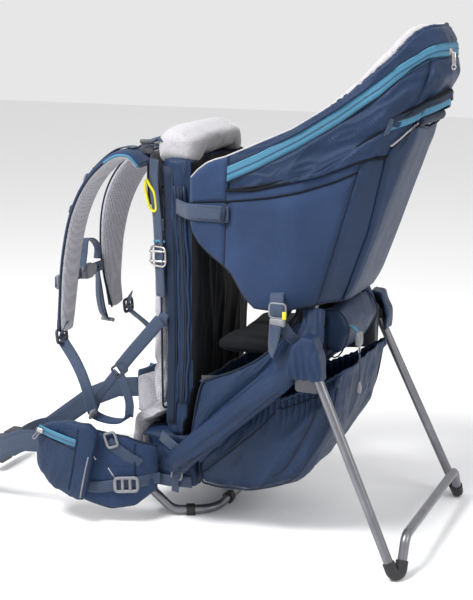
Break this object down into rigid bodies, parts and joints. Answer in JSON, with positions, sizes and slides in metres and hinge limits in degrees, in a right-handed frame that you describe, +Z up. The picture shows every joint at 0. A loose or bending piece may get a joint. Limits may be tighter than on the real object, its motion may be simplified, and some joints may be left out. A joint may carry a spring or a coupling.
{
  "type": "child carrier backpack",
  "caption": "Child carrier backpack on an aluminium tube frame with a folding stand, fabric cockpit and hood, luggage bag, padded harness and hip belt.",
  "frame": {"origin": "on the ground, below the middle of the overall box", "axes": "+Z up, +X the wearer's left, +Y towards the stand, away from the wearer"},
  "size_m": [0.4, 0.821, 0.806],
  "materials": {
    "navy_ripstop": "matte coated polyamide",
    "navy_mesh": "air-mesh with grey underside",
    "navy_webbing": "ribbed webbing",
    "light_blue_tape": "zip tape",
    "heather_grey": "soft jersey",
    "lining_dark": "dark lining",
    "tube_grey": "satin anodised aluminium",
    "band_grey": "satin",
    "rubber_black": "moulded",
    "plastic_grey": "moulded acetal",
    "plastic_dark": "moulded",
    "plastic_yellow": "moulded",
    "steel_silver": "cast zip slider"
  },
  "bodies": {
    "frame": {"back_pad_left": "navy_mesh", "back_pad_right": "navy_mesh", "back_rail": "tube_grey", "back_tubes": "tube_grey", "bag_buckle": "plastic_grey", "bag_cord": "navy_webbing", "base_block": "navy_ripstop", "base_clips": "rubber_black", "base_loop": "tube_grey", "chin_pad": "heather_grey", "cockpit_rear": "navy_ripstop", "cockpit_side_left": "navy_ripstop", "cockpit_side_right": "navy_ripstop", "column": "navy_ripstop", "cord_end": "plastic_grey", "entry_socket": "plastic_grey", "frame_hoop": "tube_grey", "frame_sleeve_left": "navy_ripstop", "frame_sleeve_right": "navy_ripstop", "headrest": "heather_grey", "hood": "navy_ripstop", "hood_zip": "light_blue_tape", "lower_bag": "navy_ripstop", "lumbar_pad": "navy_mesh", "pivot_housings": "plastic_dark", "pivot_pins": "steel_silver", "seat_back": "lining_dark", "seat_bands": "band_grey", "stand_cuff_left": "navy_ripstop", "stand_cuff_right": "navy_ripstop", "stirrup_anchors": "plastic_grey", "tail_flap": "navy_ripstop", "wing_straps": "navy_webbing"},
    "stand": {"stand_tube": "tube_grey", "stand_bosses": "plastic_dark", "stand_feet": "rubber_black"},
    "harness": {"harness_yoke": "plastic_dark", "shoulder_strap_left": "navy_mesh", "shoulder_strap_right": "navy_mesh", "strap_adjusters": "plastic_dark", "strap_tails": "navy_webbing", "load_lifters": "plastic_grey"},
    "sternum": {"sternum_strap": "navy_webbing", "sternum_buckle": "plastic_grey"},
    "hip_belt": {"hip_fin_left": "navy_ripstop", "hip_fin_right": "navy_ripstop", "hip_pocket_left": "navy_ripstop", "hip_pocket_right": "navy_ripstop", "belt_web_left": "navy_webbing", "belt_web_right": "navy_webbing", "hip_buckle_socket": "plastic_grey", "belt_ladders": "plastic_grey"},
    "hip_buckle": {"hip_buckle_prongs": "plastic_grey"},
    "stirrup_l": {"stirrup_left": "navy_webbing"},
    "stirrup_r": {"stirrup_right": "navy_webbing"},
    "seat": {"seat_pad": "lining_dark"},
    "entry_tongue_body": {"entry_tongue": "plastic_yellow"},
    "hood_slider_body": {"hood_slider": "steel_silver"},
    "pocket_slider_l": {"pocket_slider_left": "plastic_grey"},
    "pocket_slider_r": {"pocket_slider_right": "plastic_grey"}
  },
  "joints": [
    {"name": "stand_fold", "type": "hinge", "parent": "frame", "child": "stand", "pos_m": [0, 0.25, 0.32], "axis": [-1, 0, 0], "range_deg": [0, 50]},
    {"name": "harness_height", "type": "slide", "parent": "frame", "child": "harness", "axis": [0, 0, 1], "range_m": [-0.04, 0.04]},
    {"name": "sternum_height", "type": "slide", "parent": "harness", "child": "sternum", "axis": [0, 0, 1], "range_m": [-0.025, 0.025]},
    {"name": "hip_belt_tilt", "type": "hinge", "parent": "frame", "child": "hip_belt", "pos_m": [0, -0.045, 0.1], "axis": [-1, 0, 0], "range_deg": [-2, 25]},
    {"name": "hip_buckle_release", "type": "slide", "parent": "hip_belt", "child": "hip_buckle", "axis": [-1, 0, 0], "range_m": [0, 0.03]},
    {"name": "stirrup_swing_left", "type": "hinge", "parent": "frame", "child": "stirrup_l", "pos_m": [0.118, -0.022, 0.336], "axis": [-1, 0, 0], "range_deg": [-20, 15]},
    {"name": "stirrup_swing_right", "type": "hinge", "parent": "frame", "child": "stirrup_r", "pos_m": [-0.118, -0.022, 0.336], "axis": [-1, 0, 0], "range_deg": [-20, 15]},
    {"name": "seat_height", "type": "slide", "parent": "frame", "child": "seat", "axis": [0, 0, 1], "range_m": [0, 0.06]},
    {"name": "entry_release", "type": "slide", "parent": "frame", "child": "entry_tongue_body", "axis": [0, 0, -1], "range_m": [0, 0.025]},
    {"name": "hood_zip_slide", "type": "slide", "parent": "frame", "child": "hood_slider_body", "axis": [-1, 0, 0], "range_m": [0, 0.044]},
    {"name": "pocket_zip_left", "type": "slide", "parent": "hip_belt", "child": "pocket_slider_l", "axis": [0, 0.9718, -0.2359], "range_m": [0, 0.06]},
    {"name": "pocket_zip_right", "type": "slide", "parent": "hip_belt", "child": "pocket_slider_r", "axis": [0, 0.9718, -0.2359], "range_m": [0, 0.06]}
  ]
}
